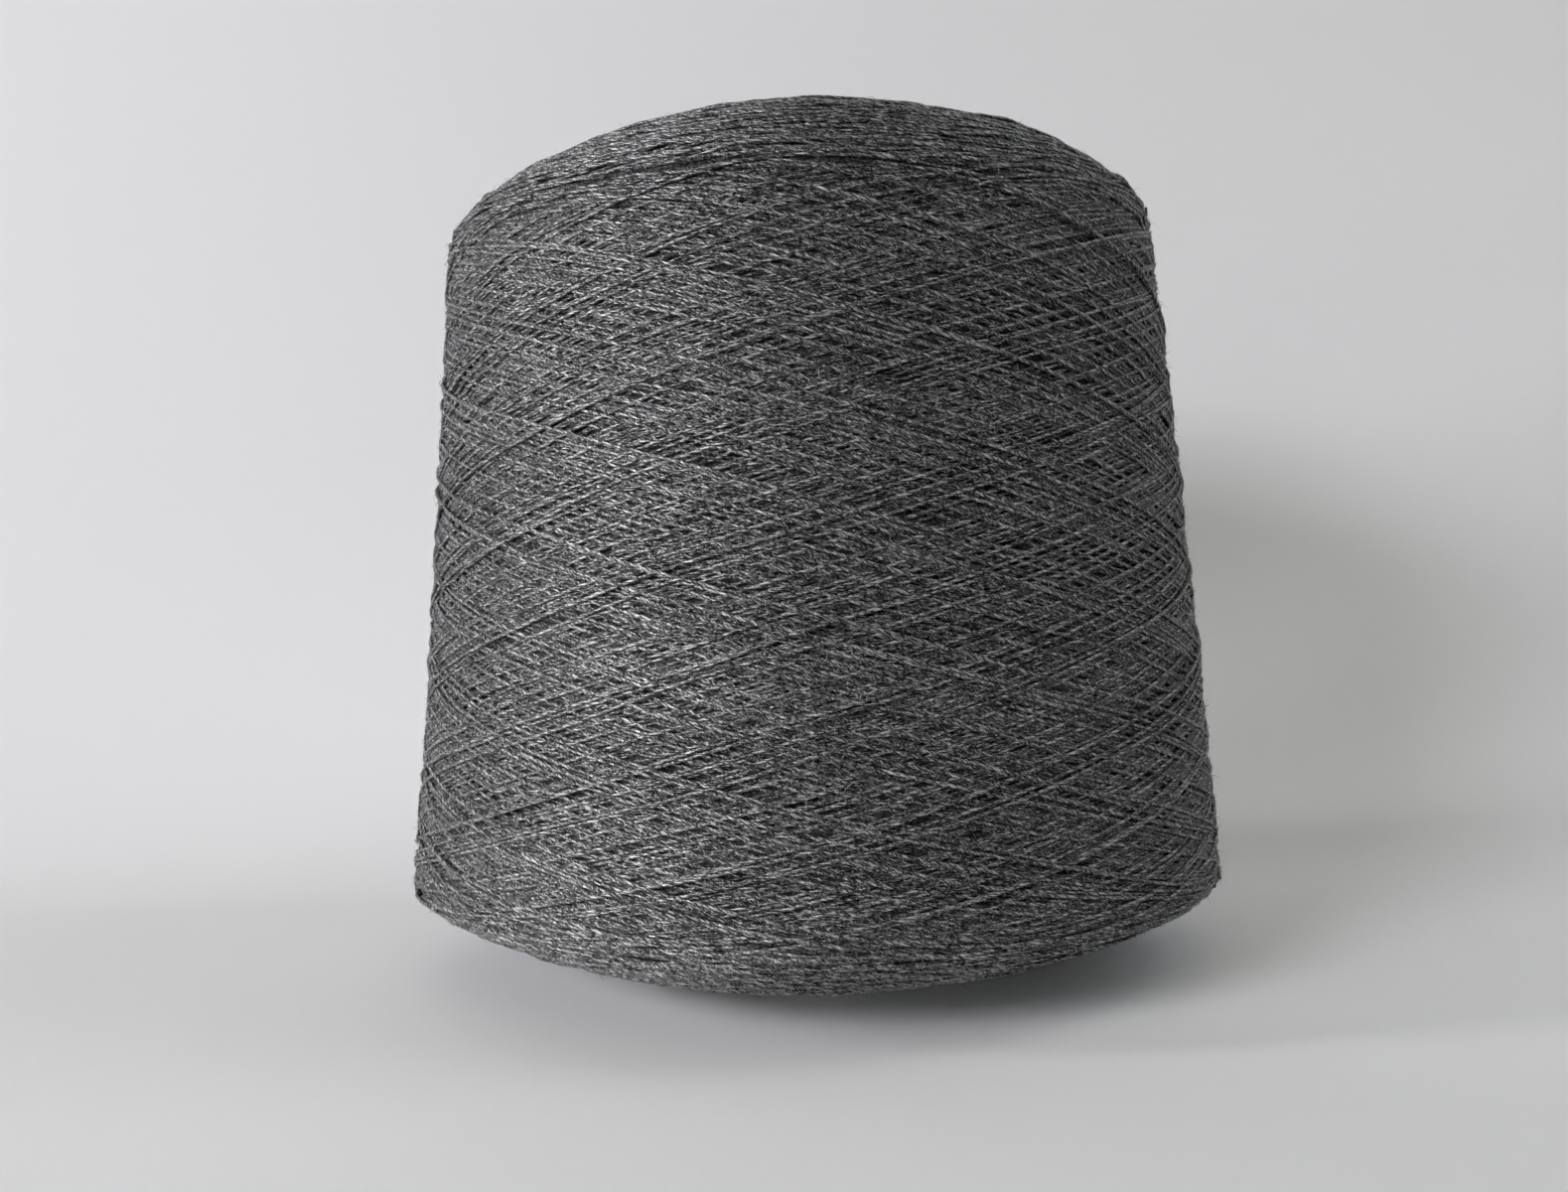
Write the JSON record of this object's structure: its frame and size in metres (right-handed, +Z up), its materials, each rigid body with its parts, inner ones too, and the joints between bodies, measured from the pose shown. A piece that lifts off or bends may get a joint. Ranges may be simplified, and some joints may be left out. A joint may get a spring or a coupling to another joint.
{
  "type": "cone of yarn",
  "caption": "Large tapered cone of cross-wound grey marl yarn with bulged ends, on a hollow rolled paper former that stands on its base rim.",
  "frame": {"origin": "centre of the former's base rim, on the surface that the cone stands on", "axes": "+Z up along the cone's axis, from the wide base to the narrow nose; X and Y are alike"},
  "size_m": [0.1632, 0.1634, 0.17],
  "materials": {
    "rolled_paper": "matte",
    "marl_yarn": "matte"
  },
  "bodies": {
    "root": {"cone_former": "rolled_paper", "transfer_tail": "marl_yarn", "yarn_package": "marl_yarn", "outer_winding": "marl_yarn"}
  },
  "joints": []
}
